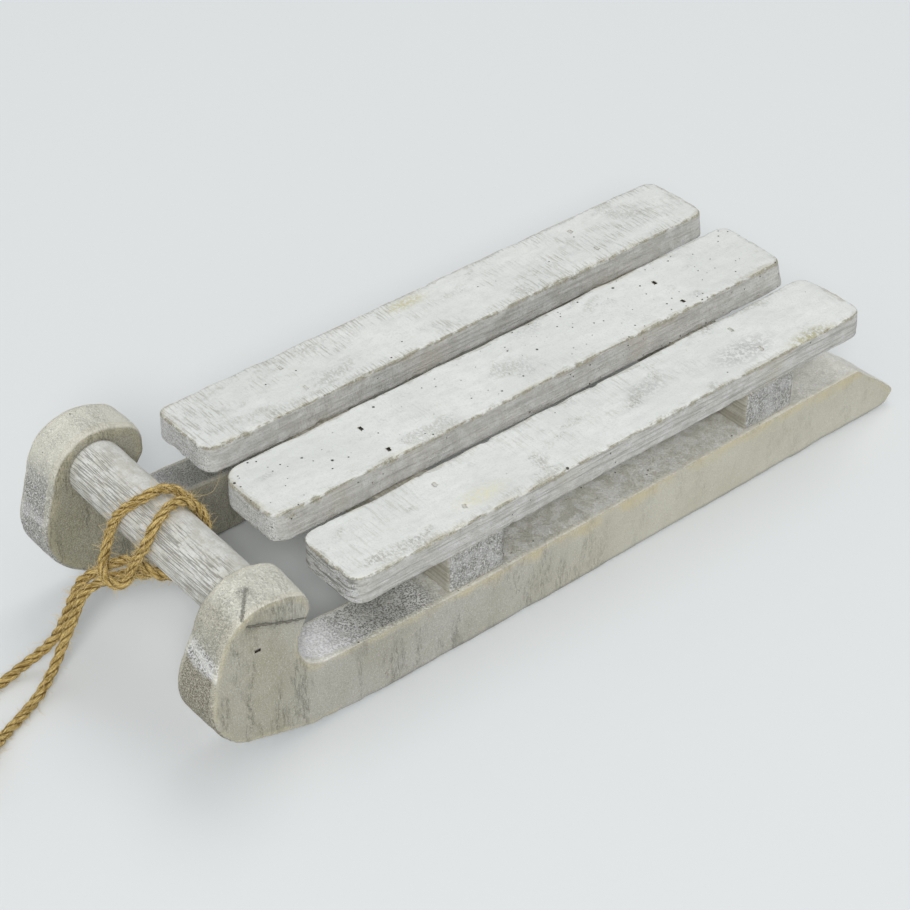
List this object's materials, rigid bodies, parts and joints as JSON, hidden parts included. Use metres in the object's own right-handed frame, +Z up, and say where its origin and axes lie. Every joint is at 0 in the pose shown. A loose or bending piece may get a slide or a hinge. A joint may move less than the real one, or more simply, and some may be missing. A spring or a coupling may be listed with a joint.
{
  "type": "wooden sled",
  "caption": "Small whitewashed wooden sled with curled runner heads, a round front crossbar, a slatted deck on battens and a hitched jute pull cord.",
  "frame": {"origin": "ground level, under the middle of the sled without its free cord", "axes": "+Z up, -Y towards the curled heads, +X towards the sled's left side (a rider facing forwards)"},
  "size_m": [0.081, 0.2822, 0.0472],
  "materials": {
    "white_wood": "white limewash, sanded back, dull",
    "drift_wood": "thin grey-white wash over pale wood, worn at the edges",
    "brad_steel": "dull dark wire, sunk below the surface",
    "jute": "three-ply hairy twine, golden brown"
  },
  "bodies": {
    "root": {"left_runner": "drift_wood", "right_runner": "drift_wood", "crossbar": "white_wood", "front_batten": "white_wood", "rear_batten": "white_wood", "left_slat": "white_wood", "middle_slat": "white_wood", "right_slat": "white_wood", "left_slat_brads": "brad_steel", "middle_slat_brads": "brad_steel", "right_slat_brads": "brad_steel", "front_batten_brads": "brad_steel", "rear_batten_brads": "brad_steel", "crossbar_brads": "brad_steel", "cord_hitch": "jute", "cord_left_leg": "jute", "cord_right_leg": "jute", "cord_coil": "jute", "cord_ties": "jute"}
  },
  "joints": []
}
